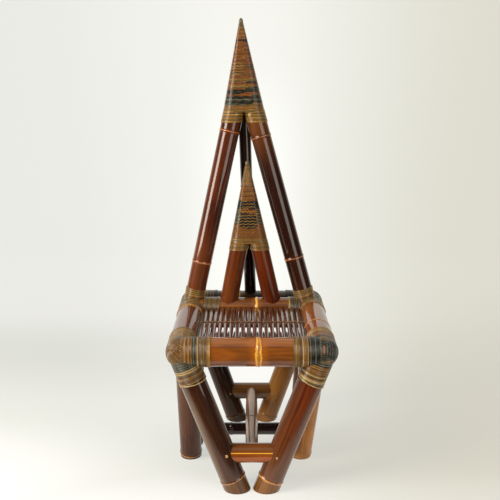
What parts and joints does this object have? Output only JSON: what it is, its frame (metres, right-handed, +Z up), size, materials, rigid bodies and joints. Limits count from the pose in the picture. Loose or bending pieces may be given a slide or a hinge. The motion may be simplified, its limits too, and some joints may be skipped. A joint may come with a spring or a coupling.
{
  "type": "bamboo chair",
  "caption": "Lashed bamboo chair with splayed V legs, a split slat seat, a small A frame back and a tall wrapped tripod back.",
  "frame": {"origin": "on the floor, under the middle of the seat frame", "axes": "+Z up; the front of the seat faces -Y; +X to the right as seen from the front"},
  "size_m": [0.4756, 0.5776, 1.3257],
  "materials": {
    "bamboo_dark": "gloss lacquer over dark red-brown stained bamboo",
    "bamboo_amber": "gloss lacquer over amber bamboo with dark streaks",
    "bamboo_gold": "gloss lacquer over golden brown bamboo",
    "bamboo_slat": "gloss lacquer over split dark bamboo",
    "cane": "satin binding cane, partly dyed",
    "pale_wood": "plain wood"
  },
  "bodies": {
    "root": {"front_rail": "bamboo_amber", "left_rail": "bamboo_dark", "right_rail": "bamboo_dark", "rear_rail": "bamboo_amber", "inner_rail": "bamboo_amber", "front_left_leg": "bamboo_dark", "front_right_leg": "bamboo_dark", "rear_left_leg": "bamboo_dark", "rear_right_leg": "bamboo_gold", "left_front_leg": "bamboo_dark", "left_rear_leg": "bamboo_dark", "right_front_leg": "bamboo_gold", "right_rear_leg": "bamboo_gold", "front_stretcher": "bamboo_amber", "rear_stretcher": "bamboo_dark", "left_stretcher": "bamboo_dark", "right_stretcher": "bamboo_dark", "long_cross_bar": "bamboo_dark", "wide_cross_bar": "bamboo_dark", "tall_left_post": "bamboo_dark", "tall_right_post": "bamboo_dark", "tall_rear_post": "bamboo_dark", "small_left_post": "bamboo_dark", "small_right_post": "bamboo_dark", "tall_spire_core": "pale_wood", "small_spire_core": "pale_wood", "front_left_core": "pale_wood", "front_right_core": "pale_wood", "rear_left_core": "pale_wood", "rear_right_core": "pale_wood", "front_left_binding": "cane", "front_right_binding": "cane", "rear_left_binding": "cane", "rear_right_binding": "cane", "left_post_binding": "cane", "right_post_binding": "cane", "tall_spire_binding": "cane", "small_spire_binding": "cane", "seat_slats": "bamboo_slat", "slat_batten": "bamboo_slat", "slat_tie": "cane", "leg_pins": "pale_wood", "post_pins": "pale_wood", "stretcher_tenons": "pale_wood", "stretcher_pegs": "pale_wood"}
  },
  "joints": []
}
